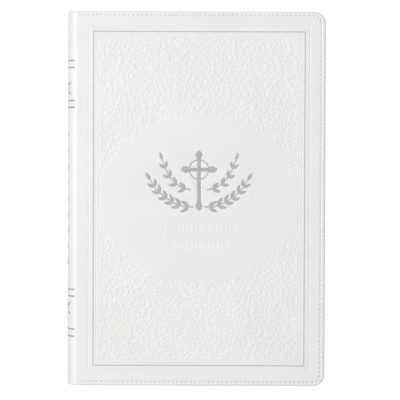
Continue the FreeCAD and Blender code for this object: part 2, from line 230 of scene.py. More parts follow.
class Look:
    """A material in the making. Its textures are laid out in object coordinates."""

    def __init__(self, name, stretch=(1.0, 1.0, 1.0), **inputs):
        self.material = bpy.data.materials.new(name)
        self.material.use_nodes = True
        self.tree = self.material.node_tree
        self.shader = self.tree.nodes["Principled BSDF"]
        self.shade(**inputs)
        if stretch is not None:
            coords = self.add("ShaderNodeTexCoord").outputs["Object"]
            self.place = self.add("ShaderNodeMapping", Vector=coords, Scale=stretch).outputs["Vector"]

    def add(self, kind, **settings):
        return add_node(self.tree, kind, **settings)

    def shade(self, **inputs):
        for key, value in inputs.items():
            put(self.tree, self.shader.inputs[key.replace("_", " ")], value)

    def combine(self, operation, first, second=0.0, kind="ShaderNodeMath"):
        node = self.add(kind, operation=operation)
        for socket, value in zip(node.inputs, (first, second)):
            put(self.tree, socket, value)
        return node.outputs[0]

    def noise(self, size, detail=2.0, rough=0.5):
        """Noise whose features are about the given number of millimetres across."""
        return self.add("ShaderNodeTexNoise", Vector=self.place, Scale=1.0 / (size * MM),
                        Detail=detail, Roughness=rough).outputs["Fac"]

    def wave(self, direction, size, distortion):
        """Even stripes across a direction; their spacing grows with the size, in millimetres."""
        return self.add("ShaderNodeTexWave", wave_type="BANDS", bands_direction=direction,
                        Vector=self.place, Scale=1.0 / (size * MM), Distortion=distortion).outputs["Fac"]

    def paint(self, value, dark, light, low, high):
        """The base colour runs from dark to light as the value goes from low to high."""
        node = self.add("ShaderNodeValToRGB", Fac=value)
        for element, place, colour in zip(node.color_ramp.elements, (low, high), (dark, light)):
            element.position = place
            element.color = (*colour, 1.0)
        self.shade(Base_Color=node.outputs["Color"])

    def mottle(self, dark, light, size, detail, rough=0.5, spread=0.2):
        """The base colour is two tones in patches."""
        patches = self.noise(size, detail, rough)
        self.paint(patches, dark, light, 0.5 - spread, 0.5 + spread)
        return patches

    def gloss(self, value, low, high):
        self.shade(Roughness=grey_range(self.tree, value, low, high))

    def bump(self, height, strength, distance):
        """Heights of up to the distance in millimetres, on top of any bump made before."""
        normal = self.shader.inputs["Normal"]
        node = self.add("ShaderNodeBump", Strength=strength, Distance=distance * MM, Height=height)
        if normal.is_linked:
            put(self.tree, node.inputs["Normal"], normal.links[0].from_socket)
        put(self.tree, normal, node.outputs["Normal"])


def leather_look():
    """White imitation leather: fine pebble grain, faint creases, slightly uneven tone."""
    look = Look("white_leather", IOR=1.46)
    look.mottle(LEATHER_DARK, LEATHER_LIGHT, 26.0, 4.0)
    look.gloss(look.noise(3.0, 3.0), 0.42, 0.6)
    wobble = look.add("ShaderNodeTexNoise", Vector=look.place, Scale=1.0 / (2.4 * MM), Detail=2.0)
    shrunk = look.add("ShaderNodeVectorMath", operation="SCALE", Vector=wobble.outputs["Color"],
                      Scale=0.9 * MM)
    warped = look.combine("ADD", look.place, shrunk.outputs["Vector"], "ShaderNodeVectorMath")
    pebbles = look.add("ShaderNodeTexVoronoi", feature="SMOOTH_F1", Vector=warped,
                       Scale=1.0 / (0.75 * MM), Smoothness=0.35)
    look.bump(pebbles.outputs["Distance"], 0.16, 0.12)
    look.bump(look.noise(1.6, 6.0, 0.7), 0.10, 0.16)
    return look.material


def foil_look():
    """Hot-stamped silver foil with a fine brushed break-up."""
    look = Look("silver_foil", Metallic=1.0)
    patches = look.mottle(FOIL_DARK, FOIL_LIGHT, 1.2, 4.0)
    look.gloss(patches, 0.19, 0.26)
    look.bump(look.noise(0.35, 2.0), 0.08, 0.02)
    return look.material


def thread_look():
    """Twisted polyester thread."""
    look = Look("thread", (1.0, 1.0, 0.4), Roughness=0.62)
    twist = look.wave("DIAGONAL", 1.1, 1.5)
    look.paint(twist, (0.66, 0.65, 0.63), (0.86, 0.85, 0.83), 0.2, 0.8)
    look.bump(twist, 0.5, 0.08)
    return look.material


def fibre_look(name, tones, texture, spread, bump, stretch=(1.0, 1.0, 1.0), gloss=None, **inputs):
    """Fibres or strands that show in the tone and in the surface."""
    look = Look(name, stretch, **inputs)
    fibres = look.mottle(*tones, *texture, spread)
    look.bump(fibres, *bump)
    if gloss:
        look.gloss(fibres, *gloss)
    return look


def paper_look(name, dark, light, fibre=0.5):
    """Paper, with fibres of the given size in millimetres."""
    return fibre_look(name, (dark, light), (fibre, 5.0, 0.65), 0.2, (0.18, 0.05), Roughness=0.82)


def silk_look(name, dark, light):
    """Silk with fine strands along the wraps of a headband."""
    return fibre_look(name, (dark, light), (0.12, 3.0, 0.5), 0.2, (0.3, 0.03), (1.0, 0.2, 1.0),
                      Roughness=0.4).material


def cloth_look(name, dark, light, pitch, strength=0.6):
    """A plain weave: two crossed sets of threads."""
    look = Look(name, Roughness=0.85)
    weave = look.combine("MULTIPLY", *[look.wave(direction, pitch * 3.2, 0.6) for direction in "YZ"])
    look.paint(weave, dark, light, 0.05, 0.6)
    look.bump(weave, strength, 0.12)
    return look.material


PRINT_ROW = 2.9
PRINT_BAR = (0.28, 0.74)
PRINT_INK = 0.6
PRINT_MARGIN = 13.0
PRINT_COLUMNS = ((13.0, 67.0), (71.5, 127.0))
# noise above this is a word, and each row reads the noise this far from the last
WORD_SHARE = 0.44
ROW_SHIFT = 37.3
PAGE_HALF = box_mm(SECTIONS[0])[1][1]


def printed_paper():
    """Thin printing paper with two columns of grey bars that stand for print."""
    look = paper_look("page_paper", (0.80, 0.79, 0.765), (0.86, 0.85, 0.83))
    combine = look.combine

    def between(value, low, high):
        return combine("MULTIPLY", combine("GREATER_THAN", value, low), combine("LESS_THAN", value, high))

    coords = look.add("ShaderNodeTexCoord").outputs["UV"]
    split = look.add("ShaderNodeSeparateXYZ", Vector=coords)
    across, up = split.outputs["X"], split.outputs["Y"]
    row = combine("DIVIDE", up, PRINT_ROW)
    shift = combine("MULTIPLY", combine("FLOOR", row), ROW_SHIFT)
    place = look.add("ShaderNodeCombineXYZ", X=across, Y=shift).outputs["Vector"]
    words = look.add("ShaderNodeTexNoise", Vector=place, Scale=0.42, Detail=1.0).outputs["Fac"]
    word = combine("GREATER_THAN", words, WORD_SHARE)
    ink = combine("MULTIPLY", word, between(combine("FRACT", row), *PRINT_BAR))
    columns = combine("ADD", *[between(across, low, high) for low, high in PRINT_COLUMNS])
    inside = combine("MULTIPLY", columns, between(up, PRINT_MARGIN, 2 * PAGE_HALF - PRINT_MARGIN))
    share = combine("MULTIPLY", combine("MULTIPLY", ink, inside), PRINT_INK)
    paper = look.shader.inputs["Base Color"].links[0].from_socket
    mix = look.add("ShaderNodeMix", data_type="RGBA", Factor=share, A=paper, B=(0.28, 0.28, 0.29, 1))
    look.shade(Base_Color=mix.outputs["Result"])
    return look.material


LEATHER_DARK = (0.798, 0.786, 0.763)
LEATHER_LIGHT = (0.830, 0.818, 0.795)
FOIL_DARK = (0.69, 0.69, 0.70)
FOIL_LIGHT = (0.82, 0.82, 0.83)

# silvered page edges are metal broken up by the edges of the leaves
PAGE_EDGE = fibre_look("page_edge_silver", ((0.46, 0.46, 0.47), (0.74, 0.74, 0.75)), (0.8, 4.0, 0.7),
                       0.25, (0.25, 0.06), (0.15, 0.15, 6.0), (0.3, 0.5), Metallic=0.85).material
ENDPAPER = paper_look("endpaper", (0.82, 0.81, 0.79), (0.88, 0.87, 0.85), 0.8).material
LINING = cloth_look("lining_cloth", (0.66, 0.65, 0.63), (0.82, 0.81, 0.79), 0.5, 0.3)
BOARD = fibre_look("grey_board", ((0.30, 0.29, 0.27), (0.48, 0.46, 0.43)), (0.9, 6.0, 0.7), 0.25,
                   (0.4, 0.15), Roughness=0.9).material
# what each slot is made of
MATERIALS = {
    "white_leather": [leather_look()],
    "silver_foil": [foil_look()],
    "thread": [thread_look()],
    "page_paper": [printed_paper(), PAGE_EDGE],
    "endpaper": [ENDPAPER, PAGE_EDGE],
    "mull_cloth": [cloth_look("mull_cloth", (0.50, 0.49, 0.45), (0.78, 0.77, 0.73), 0.7)],
    "kraft_paper": [paper_look("kraft_paper", (0.40, 0.31, 0.22), (0.52, 0.42, 0.31), 1.2).material],
    "headband_silk": [silk_look("headband_white", (0.76, 0.75, 0.73), (0.88, 0.87, 0.86)),
                      silk_look("headband_grey", (0.42, 0.42, 0.44), (0.56, 0.56, 0.58))]}


def finish_piece(thing, slot, replaces=(), body=None):
    """Gives the piece its slot's materials, hides the CAD nodes it stands for and, if a body is given, lets it
    ride on that body.
    """
    for material in MATERIALS[slot]:
        thing.data.materials.append(material)
    if replaces:
        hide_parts(*replaces)
    if body:
        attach(thing, body)


# ---------- strokes drawn on the cover
def resample(points, radii, step):
    """A curve of even step through the points: rows of x, y and half-width."""
    points = np.asarray(points, dtype=float)
    lengths = np.concatenate([[0.0], np.cumsum(np.linalg.norm(np.diff(points, axis=0), axis=1))])
    count = max(3, int(lengths[-1] / step) + 1)
    places = np.linspace(0.0, lengths[-1], count)
    columns = [np.interp(places, lengths, column) for column in (*points.T, radii)]
    return np.stack(columns, axis=1)


def mark(radii, *points):
    """A short stroke through points, with a half width at each."""
    return np.array(points, dtype=float), np.array(radii)


def upright(x, y, half, end, middle):
    """An upright bar, or a lozenge if its middle is wider than its ends."""
    return mark((end, middle, end), (x, y - half), (x, y), (x, y + half))


def heading(step):
    return math.atan2(step[1], step[0])


def leaf(x, y, angle, length, width, curl=0.0):
    """A pointed leaf from its stem end, curling to one side."""
    t = np.linspace(0.0, 1.0, 9)
    steps = towards(angle + curl * t[:-1]) * length / 8
    points = (x, y) + np.concatenate([[(0, 0)], np.cumsum(steps, axis=0)])
    return points, width / 2 * np.sin(math.pi * t ** 0.8) ** 0.8 + 0.06


def spiral(x, y, outer, inner, start, turns, hand):
    t = np.linspace(0.0, 1.0, 40)[:, None]
    angle = start + hand * 2 * math.pi * turns * t[:, 0]
    return (x, y) + (outer + (inner - outer) * t ** 0.85) * towards(angle)


def rosette(x, y, size, start):
    """Five petals round a centre."""
    reach = size * np.linspace(0.35, 1.0, 4)[:, None]
    petals = [((x, y) + reach * towards(start + petal * 2 * math.pi / 5),
               size * np.array([0.12, 0.26, 0.34, 0.2])) for petal in range(5)]
    return petals + [mark((0.16 * size, 0.16 * size), (x, y), (x + 0.01, y))]


def mirrored(strokes, x, y):
    """Strokes on both sides of a middle line, moved to their place."""
    return [(points * (side, 1) + (x, y), radii) for points, radii in strokes for side in (1, -1)]


def scroll(x, y, size, start, hand):
    """One curl of the vine: a spiral stem, leaves along it and a flower in its eye."""
    stem = spiral(x, y, size, size * 0.42, start, 0.95, hand)
    strokes = [(stem, np.linspace(0.24, 0.36, len(stem)))]
    for share, side, length in ((0.02, -1, 2.4), (0.17, -1, 2.1), (0.32, -1, 2.3), (0.47, -1, 2.0),
                                (0.62, -1, 1.8), (0.24, 1, 1.4), (0.08, 1, 1.5), (0.78, -1, 1.5)):
        index = int(share * (len(stem) - 2))
        bearing = heading(stem[index + 1] - stem[index]) + side * hand * 0.95
        strokes.append(leaf(*stem[index], bearing, length, 0.46 * length, -side * hand * 0.9))
    return strokes + rosette(x, y, size * 0.36, start)


MIDDLE_X = (FOIL_LOW[0] + FOIL_HIGH[0]) / 2
CLEAR_HALF = (58.0, 48.8)
SCROLL_PITCH = (10.4, 9.4)
SCROLL_SIZE = 3.7
LINES_IN = (1.9, 3.4)
LINES_OUT = 2.55
LINE_WIDTH = 0.4
LINE_SOFT = 0.14
FOIL_LINE = 0.5
# room between the panel's inner line and the vine, and how far a curl may stray from its place
PANEL_CLEAR = 0.8
SCROLL_DRIFT = 0.7
# a curl may stand this far outside the panel; its strokes that cross the edge are left out
SCROLL_OUTSIDE = 4
# the middles of curls keep out of the clear oval, with this room added and scaled by this share
OVAL_ROOM = 3.2
OVAL_SHARE = 0.86


def arabesque():
    """Curls of vine that fill the panel round a clear oval, alike on both sides of the middle."""
    half = (FOIL_HIGH[0] - FOIL_LOW[0]) / 2 - LINES_IN[1] - PANEL_CLEAR
    tall = FOIL_HIGH[1] - LINES_IN[1] - PANEL_CLEAR
    columns = int(half / SCROLL_PITCH[0]) + 1
    rows = int(tall / SCROLL_PITCH[1]) + 1
    strokes = []
    for row in range(-rows, rows + 1):
        for column in range(columns + 1):
            u = (column + (0.5 if row % 2 else 0.0)) * SCROLL_PITCH[0]
            v = row * SCROLL_PITCH[1]
            u += random.uniform(-SCROLL_DRIFT, SCROLL_DRIFT) * (column > 0)
            v += random.uniform(-SCROLL_DRIFT, SCROLL_DRIFT)
            start = random.uniform(0, 2 * math.pi)
            oval = math.hypot(u / (CLEAR_HALF[0] + OVAL_ROOM), v / (CLEAR_HALF[1] + OVAL_ROOM))
            outside = u > half + SCROLL_OUTSIDE or abs(v) > tall + SCROLL_OUTSIDE
            if oval < OVAL_SHARE or outside:
                continue
            hand = 1 if (row + column) % 2 else -1
            curl = scroll(u, v, SCROLL_SIZE * random.uniform(0.9, 1.1), start, hand)
            strokes += [stroke for stroke in curl if in_panel(stroke[0], half, tall)]
    strokes += small_leaves(strokes, half, tall)
    return mirrored(strokes, MIDDLE_X, 0.0)


def in_panel(points, half, tall):
    """True for a stroke on the right of the middle, inside the panel and outside the oval."""
    x, y = points.T
    oval = np.hypot(x / CLEAR_HALF[0], y / CLEAR_HALF[1])
    return x.min() > -0.5 and x.max() < half and np.abs(y).max() < tall and oval.min() > 1


GAP_TRIES = 5000
LEAF_GAP = 0.8


def small_leaves(strokes, half, tall):
    """Single leaves in the gaps that the curls leave."""
    taken = np.concatenate([resample(points, radii, 0.4) for points, radii in strokes])
    added = []
    for _ in range(GAP_TRIES):
        x = random.uniform(0.0, half)
        y = random.uniform(-tall, tall)
        bearing = random.uniform(0, 2 * math.pi)
        gap = (np.hypot(taken[:, 0] - x, taken[:, 1] - y) - taken[:, 2]).min()
        if gap < LEAF_GAP:
            continue
        length = min(2.4, 1.1 + gap)
        back = (x, y) - towards(bearing) * length / 2
        piece = leaf(*back, bearing, length, min(1.3, 0.5 * length), 0.5)
        if in_panel(piece[0], half, tall):
            added.append(piece)
            taken = np.concatenate([taken, resample(*piece, 0.4)])
    return added


# the emblem: a flared Latin cross between two pairs of olive branches
EMBLEM_Y = 10.5
CROSS_TALL = 35.0
CROSS_WIDE = 21.0
BEAM_UP = 6.4
RING = 5.6
# half widths of an arm of the cross, from the point of the bud at its tip
BUD = (0.1, 0.9, 1.7, 2.1, 1.8, 1.15, 1.1)


def flared_arm(x, y, angle, length):
    """One arm of the cross, ending in a pointed bud."""
    curve = resample([(x, y), (x, y) + towards(angle) * length], [1.0, 1.0], 0.25)
    to_tip = (1.0 - np.linspace(0.0, 1.0, len(curve))) * length
    return curve[:, :2], np.interp(to_tip, [0.0, 0.7, 1.6, 2.6, 3.6, 5.0, length + 5.0], BUD)


def branch(points, leaves, length, width):
    """An olive branch: a tapering stem with leaves in pairs, berries between and a leaf at its tip."""
    stem = resample(points, np.linspace(0.45, 0.3, len(points)), 0.5)
    strokes = [(stem[:, :2], stem[:, 2])]
    for number in range(leaves):
        share = (number + 0.6) / (leaves + 0.4)
        index = int(share * (len(stem) - 2))
        along = stem[index + 1, :2] - stem[index, :2]
        scale = 1.0 - 0.22 * share
        for side in (1, -1):
            strokes.append(leaf(*stem[index, :2], heading(along) + side * 0.82, length * scale,
                                width * scale, -side * 0.55))
        berry = stem[min(index + 3, len(stem) - 1), :2] + leftwards(along) * 1.6
        strokes.append(mark((0.62, 0.62), berry, berry + 0.02))
    tip = leaf(*stem[-1, :2], heading(stem[-1, :2] - stem[-4, :2]), length * 0.9, width * 0.85)
    return strokes + [tip]


# the right-hand branches, from the emblem's middle
LOWER_BRANCH = ((3.4, -15.2), (9.0, -15.0), (15.0, -12.6), (20.5, -9.0), (25.0, -4.6), (28.0, 0.2))
UPPER_BRANCH = ((5.0, -5.2), (9.0, -4.4), (13.5, -1.8), (17.0, 2.2), (19.6, 7.4), (21.2, 12.0))


def emblem_strokes():
    crossing = (MIDDLE_X, EMBLEM_Y + BEAM_UP)
    up = CROSS_TALL / 2 - BEAM_UP
    strokes = [flared_arm(*crossing, angle, length) for angle, length in
               ((math.pi / 2, up), (-math.pi / 2, CROSS_TALL - up), (0.0, CROSS_WIDE / 2),
                (math.pi, CROSS_WIDE / 2))]
    ring = spiral(*crossing, RING, RING, 0.0, 1.0, 1)
    strokes.append((ring, np.full(len(ring), 0.42)))
    for points, leaves, length, width in ((LOWER_BRANCH, 6, 5.9, 2.3), (UPPER_BRANCH, 4, 5.2, 2.1)):
        strokes += mirrored(branch(points, leaves, length, width), MIDDLE_X, EMBLEM_Y)
    return strokes


# height of each row's middle and half its length
LOZENGE_ROWS = ((-17.5, 20.0), (-25.7, 15.0))
ROW_TALL = 2.2
ROW_PITCH = 5.0


def lower_ornament():
    """Two pressed rows of lozenges and bars under the emblem."""
    strokes = []
    for row_y, half in LOZENGE_ROWS:
        count = int(2 * half / ROW_PITCH)
        for number in range(count + 1):
            x = MIDDLE_X - half + number * 2 * half / count
            strokes.append(upright(x, row_y, ROW_TALL, 0.1, 1.25))
            if number < count:
                strokes.append(upright(x + half / count, row_y, ROW_TALL * 0.8, 0.34, 0.34))
    return strokes


# ---------- the front panel's relief
class Relief:
    """Heights of a cover's flat part over a grid, pressed down by strokes and lines."""

    def __init__(self, low_x, step, lines, soft):
        keep_x, keep_y = grid_edges(lines, soft)
        self.xs = self.places(low_x, INNER_X, step, keep_x)
        self.ys = self.places(-INNER_HALF_TALL, INNER_HALF_TALL, step, keep_y)
        self.depth = np.zeros((len(self.xs), len(self.ys)))

    @staticmethod
    def places(low, high, step, keep):
        """Even places, with the ones to keep in the stead of those beside them."""
        even = np.linspace(low, high, int(round((high - low) / step)) + 1)
        near = np.abs(even[:, None] - np.array(keep)).min(axis=1) < step * 0.3
        near[[0, -1]] = False
        return np.sort(np.concatenate([even[~near], keep]))

    def press(self, strokes, depth, soft, step=0.22):
        """Strokes sink by depth, over a shoulder of the given width."""
        inside = np.full(self.depth.shape, -9.0)
        for points, radii in strokes:
            for x, y, radius in resample(points, radii, step):
                reach = radius + soft
                i0, i1 = np.searchsorted(self.xs, (x - reach, x + reach))
                j0, j1 = np.searchsorted(self.ys, (y - reach, y + reach))
                window = inside[i0:i1, j0:j1]
                gap = np.hypot(self.xs[i0:i1, None] - x, self.ys[j0:j1] - y)
                np.maximum(window, radius - gap, out=window)
        self.depth = np.maximum(self.depth, depth * smoothstep(-soft / 2, soft / 2, inside))

    def frame_line(self, amount, width, depth, shoulder):
        """A rectangular groove the given amount outside the foil frame's outline."""
        low, high = outline_shift(amount)
        from_x = np.maximum(low[0] - self.xs, self.xs - high[0])
        from_y = np.maximum(low[1] - self.ys, self.ys - high[1])
        gap = np.abs(np.maximum(from_x[:, None], from_y))
        groove = depth * (1 - smoothstep(width / 2 - shoulder, width / 2 + shoulder, gap))
        self.depth = np.maximum(self.depth, groove)

    def slab(self, name, bottom, upwards):
        """A closed slab. The pressed face is at TOP for the front and at 0 for the back."""
        nx, ny = self.depth.shape
        x, y = np.meshgrid(self.xs, self.ys, indexing="ij")
        top = np.stack([x, y, from_face(self.depth, upwards)], axis=-1).reshape(-1, 3)
        index = np.arange(nx * ny).reshape(nx, ny)
        edge = np.concatenate([index[:, 0], index[-1, 1:], index[-2::-1, -1], index[0, -2:0:-1]])
        low = top[edge].copy()
        low[:, 2] = bottom
        ring = np.arange(len(edge)) + nx * ny
        sides = np.stack([edge, np.roll(edge, -1), np.roll(ring, -1), ring], axis=-1)
        parts = Parts()
        parts.add(np.concatenate([top, low]), np.concatenate([lattice(nx, ny), sides]), [list(ring)])
        return parts.make(name)


KEPT_SHARE = 0.36


def thin_out(thing):
    """Fewer triangles where the surface is flat."""
    modifier = thing.modifiers.new("thin_out", "DECIMATE")
    modifier.ratio = KEPT_SHARE
    shapes = bpy.context.evaluated_depsgraph_get()
    mesh = bpy.data.meshes.new_from_object(thing.evaluated_get(shapes))
    thing.modifiers.clear()
    thing.data = mesh
    mesh.polygons.foreach_set("use_smooth", np.full(len(mesh.polygons), True))
    mesh.set_sharp_from_angle(angle=math.radians(40.0))


FOIL_DEEP = 0.14
LINE_DEEP = 0.14
PATTERN_DEEP = 0.16
ORNAMENT_DEEP = 0.1
PATTERN_SOFT = 0.22
FIGURE_SOFT = 0.3
RECESS_DEEP = BOARD_HIGH[2] - FRONT_LOW[2]
FOIL_SOFT = 0.06
FRONT_GRID = 0.32
BACK_GRID = 1.5
INNER_HALF_TALL = HALF_TALL - CORNER
INNER_X = FORE_X - CORNER
EMBLEM = emblem_strokes()


def outline_shift(amount):
    """The foil frame's rectangle, moved outwards by the amount."""
    return FOIL_LOW[:2] - amount, FOIL_HIGH[:2] + amount


def grid_edges(lines, soft):
    """Grid places at both shoulders of lines round the frame, across the panel and up it."""
    return [[corner[axis] + (side * width / 2 + step)
             for amount, width in lines for corner in outline_shift(amount)
             for side in (-1, 1) for step in (-soft, soft)] for axis in (0, 1)]


def front_relief():
    lines = [(-FOIL_LINE / 2, FOIL_LINE)]
    lines += [(amount, LINE_WIDTH) for amount in (LINES_OUT, -LINES_IN[0], -LINES_IN[1])]
    relief = Relief(FRONT_LOW[0], FRONT_GRID, lines, FOIL_SOFT)
    relief.press(arabesque(), PATTERN_DEEP, PATTERN_SOFT, FRONT_GRID / 2)
    relief.press(EMBLEM, FOIL_DEEP, FIGURE_SOFT)
    relief.press(lower_ornament(), ORNAMENT_DEEP, FIGURE_SOFT)
    relief.frame_line(-FOIL_LINE / 2, FOIL_LINE, FOIL_DEEP, FOIL_SOFT)
    relief.frame_line(LINES_OUT, LINE_WIDTH, LINE_DEEP, LINE_SOFT)
    for amount in LINES_IN:
        relief.frame_line(-amount, LINE_WIDTH, LINE_DEEP * 0.8, LINE_SOFT)
    panel = relief.slab("front_cover_relief", BOARD_HIGH[2], True)
    thin_out(panel)
    finish_piece(panel, "white_leather", ["front_cover_leather"], "front_cover")


def back_relief():
    lines = [(LINES_OUT, LINE_WIDTH), (0.0, LINE_WIDTH)]
    relief = Relief(BACK_LOW[0], BACK_GRID, lines, LINE_SOFT)
    for amount, width in lines:
        relief.frame_line(amount, width, LINE_DEEP, LINE_SOFT)
    panel = relief.slab("back_cover_panel", COVER_THICK - RECESS_DEEP, False)
    finish_piece(panel, "white_leather", ["back_cover_leather"], "back_cover")


# ---------- the turned-in rim and its stitching
EDGE_ROUND = 0.85
TURN_IN = 4.6
GROOVE_DEEP = 0.1
HOLE_DEEP = 0.72
FRONT_STITCH_FROM = BACK_HINGE[0] + 1.1


def edge_depth(from_edge, inset, hole=0.0):
    """How far the leather's face lies below its flat level, at a distance from the edge."""
    groove = (GROOVE_DEEP + HOLE_DEEP * hole) * np.exp(-((from_edge - inset) / 0.38) ** 2)
    puff = -0.05 * np.exp(-((from_edge - inset * 0.48) / (inset * 0.3)) ** 2)
    return groove + puff


class RimPath:
    """Stations round the three free edges of a cover, from the head to the tail."""

    def __init__(self, start_x, step=0.44):
        quarter = math.pi / 2
        head = np.arange(start_x, INNER_X, step)
        turn = np.linspace(0.0, 1.0, 26)
        side = np.arange(-INNER_HALF_TALL + step, INNER_HALF_TALL, step)
        rows = [(x, INNER_HALF_TALL, quarter) for x in head]
        rows += [(INNER_X, INNER_HALF_TALL, quarter * (1 - t)) for t in turn]
        rows += [(INNER_X, y, 0.0) for y in side[::-1]]
        rows += [(INNER_X, -INNER_HALF_TALL, -quarter * t) for t in turn]
        rows += [(x, -INNER_HALF_TALL, -quarter) for x in head[::-1]]
        rows = np.array(rows)
        angle = rows[:, 2]
        self.base = rows[:, :2]
        self.out = towards(angle)
        to_fore = smoothstep(0, 1, 1 - np.abs(angle) / quarter)
        self.insets = STITCH_INSET + (STITCH_INSET_FORE - STITCH_INSET) * to_fore
        self.seam = self.base + self.out * (CORNER - self.insets)[:, None]
        gaps = np.linalg.norm(np.diff(self.seam, axis=0), axis=1)
        self.along = np.concatenate([[0.0], np.cumsum(gaps)])

    def point(self, distance):
        """The place on the seam at a distance along it."""
        return np.array([np.interp(distance, self.along, column) for column in self.seam.T])


def stitch_places(path, lead):
    """Middles of the stitches along the seam, counted from lead millimetres before the path."""
    total = path.along[-1] + 2 * lead
    count = int(round(total / STITCH_PITCH))
    pitch = total / count
    return (np.arange(count) + 0.5) * pitch - lead, pitch


def rim(side, path, lead):
    """The edge of a cover: flat margin, stitched groove, raised rounded edge and turn-in."""
    upwards = side == "front"
    middles, pitch = stitch_places(path, lead)
    # narrow peaks, one where each stitch meets the next
    holes = (0.5 - 0.5 * np.cos(2 * math.pi * ((path.along + lead) / pitch - 0.5))) ** 4
    # distances from the edge, close together across the groove
    flat = [5.6, 4.6, 3.9, 3.5, 3.3, 3.15]
    flat += [3.0 - 0.12 * number for number in range(12)] + [1.5, 1.3, 1.1, 0.95]
    arc = EDGE_ROUND * towards(np.linspace(0.0, math.pi / 2, 7))
    recess = COVER_THICK - RECESS_DEEP
    round_x = CORNER - EDGE_ROUND
    outline = [(round_x + sine, EDGE_ROUND - cosine) for cosine, sine in arc]
    outline += [(round_x + cosine, COVER_THICK - EDGE_ROUND + sine) for cosine, sine in arc]
    outline += [(CORNER - TURN_IN, COVER_THICK), (CORNER - TURN_IN, recess), (0.0, recess)]
    rings = []
    for base, out, inset, hole in zip(path.base, path.out, path.insets, holes):
        margin = [(CORNER - edge, edge_depth(edge, inset, hole)) for edge in flat]
        ring = np.array([(0.0, 0.0)] + margin + outline)
        level = from_face(ring[:, 1:], upwards)
        rings.append(np.concatenate([base + out * ring[:, :1], level], axis=1))
    low, high = sorted((from_face(recess, upwards), from_face(COVER_THICK, upwards)))
    half = HALF_TALL - TURN_IN
    hinge_side = [[(x, -half, low), (x, half, low), (x, half, high), (x, -half, high)]
                  for x in (path.base[0, 0], BOARD_LOW[0] - 0.1)]
    Parts(rings, hinge_side).piece(f"{side}_cover_rim", "white_leather", body=f"{side}_cover", sharp=50.0)
    return middles


STITCH_LONG = 1.85
THREAD_HALF = (0.27, 0.2)
SEAM_END = 1.0


def stitch_shell(place, along, upwards):
    """One stitch: a short rounded thread that dips into the leather at both ends."""
    t = np.linspace(0.0, 1.0, 9)
    size = np.sqrt(np.clip(1 - (2 * t - 1) ** 4, 0.03, 1))
    sink = 0.07 + 0.26 * (2 * t - 1) ** 2
    round_thread = towards(np.linspace(0, 2 * math.pi, 9)[:-1]) * THREAD_HALF
    rings = []
    for share, scale, depth in zip(t, size, sink):
        side, rise = (round_thread * scale).T[:, :, None]
        points = place + along * STITCH_LONG * (share - 0.5) + leftwards(along) * side
        rings.append(np.concatenate([points, from_face(depth - rise, upwards)], axis=1))
    return rings


def cover_edge(side, start_x, lead=0.0):
    """The rim and stitches of a cover. It returns the places of stitches that are left to the joint."""
    path = RimPath(start_x)
    middles = rim(side, path, lead)
    parts = Parts()
    for middle in middles[(middles > SEAM_END) & (middles < path.along[-1] - SEAM_END)]:
        behind, place, ahead = [path.point(middle + step) for step in (-0.3, 0.0, 0.3)]
        along = (ahead - behind) / np.linalg.norm(ahead - behind)
        parts.tube(stitch_shell(place, along, side == "front"))
    parts.piece(f"{side}_stitches", "thread", [f"{side}_stitching"], f"{side}_cover")
    return middles[middles <= SEAM_END]


front_relief()
strip_stitches = cover_edge("front", FRONT_LOW[0], FRONT_LOW[0] - FRONT_STITCH_FROM)
back_relief()
cover_edge("back", BACK_LOW[0])


# ---------- spine and joint leather
ARC_MIDDLE = np.array([SPINE_LOW[0] + ARC, TOP / 2])
LEAN = math.atan2(TOP / 2 - SHOULDER, abs(BACK_HINGE[0] - ARC_MIDDLE[0]))
ARC_HALF = ARC * LEAN
ROUND_HALF = ARC_HALF + SHOULDER * (math.pi / 2 - LEAN)


def spine_point(s, inwards=0.0):
    """A point (x, z) of the spine's outside, s millimetres along it from its middle towards the front."""
    side = 1 if s >= 0 else -1
    s = abs(s)
    if s <= ARC_HALF:
        angle = s / ARC
        x = ARC_MIDDLE[0] - (ARC - inwards) * math.cos(angle)
        up = (ARC - inwards) * math.sin(angle)
    elif s <= ROUND_HALF:
        angle = LEAN + (s - ARC_HALF) / SHOULDER
        x = BACK_HINGE[0] - (SHOULDER - inwards) * math.cos(angle)
        up = TOP / 2 - SHOULDER + (SHOULDER - inwards) * math.sin(angle)
    else:
        x = BACK_HINGE[0] + s - ROUND_HALF
        up = TOP / 2 - inwards
    return x, TOP / 2 + side * up


def skin_rows(step):
    """Places along the book's height, closer together at the head and tail, with the rounding there."""
    ends = EDGE_ROUND * (1 - np.cos(np.linspace(0, math.pi / 2, 8)))
    near = np.concatenate([ends, np.arange(EDGE_ROUND + 0.12, 3.6, 0.13)])
    middle = np.arange(3.8, 2 * HALF_TALL - 3.8, step)
    from_tail = np.concatenate([near, middle, 2 * HALF_TALL - near[::-1]])
    from_edge = np.minimum(from_tail, 2 * HALF_TALL - from_tail)
    short = np.clip(EDGE_ROUND - from_edge, 0, None)
    rounding = EDGE_ROUND - np.sqrt(np.clip(EDGE_ROUND ** 2 - short ** 2, 0, None))
    return from_tail - HALF_TALL, from_edge, rounding


def skin(name, low, high, step, across=0.5, groove_from=None, replaces=(), body=None):
    """A strip of leather between two places along the spine's outline, rounded at head and tail."""
    count = max(4, int((high - low) / across) + 1)
    places = np.linspace(low, high, count)
    inner = [spine_point(s, SKIN) for s in places[::-1]]
    rings = []
    for y, edge, shrink in zip(*skin_rows(step)):
        press = np.zeros(count)
        if groove_from is not None and edge > EDGE_ROUND:
            share = smoothstep(groove_from - 0.5, groove_from + 0.5, places)
            press = share * edge_depth(edge, STITCH_INSET, 0.2)
        outer = [spine_point(s, shrink + sunk) for s, sunk in zip(places, press)]
        rings.append([(x, y, z) for x, z in outer + inner])
    return Parts(rings).piece(name, "white_leather", replaces, body, sharp=50.0)


STRIP_MIDDLE = ROUND_HALF + 2.6
# the strips either side of a hinge are this wide on the spine's side
SPINE_SIDE = 1.05
SKIN_OVERLAP = 0.06
